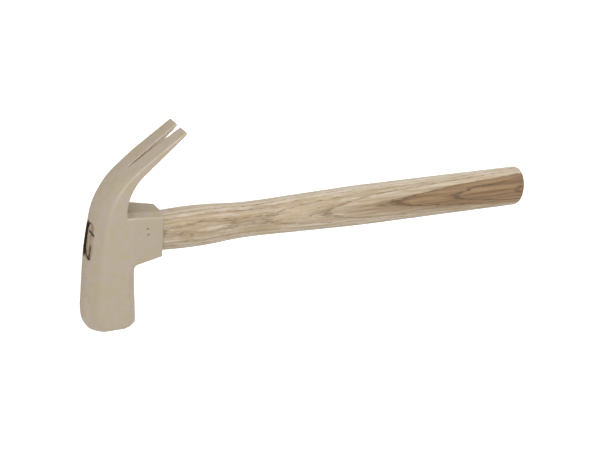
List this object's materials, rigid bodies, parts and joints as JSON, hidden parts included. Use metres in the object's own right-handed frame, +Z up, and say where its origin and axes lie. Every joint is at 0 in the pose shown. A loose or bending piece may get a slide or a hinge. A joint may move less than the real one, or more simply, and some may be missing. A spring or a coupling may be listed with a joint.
{
  "type": "claw hammer",
  "caption": "Claw hammer with an octagonal poll, a curved claw with a V slot and an oval wooden handle wedged in a tapered eye.",
  "frame": {"origin": "on the bench plane under the crossing of the handle's axis and the striking axis, with the hammer lying on one cheek of its head", "axes": "+X along the handle from the head to the butt, +Y towards the claw tips, +Z up from the bench"},
  "size_m": [0.3279, 0.133, 0.028],
  "materials": {
    "head_bronze": "satin",
    "handle_ash": "satin",
    "wedge_wood": "matte",
    "wedge_metal": "satin"
  },
  "bodies": {
    "root": {"head": "head_bronze", "handle": "handle_ash", "wood_wedge": "wedge_wood", "cross_wedge": "wedge_metal"}
  },
  "joints": []
}
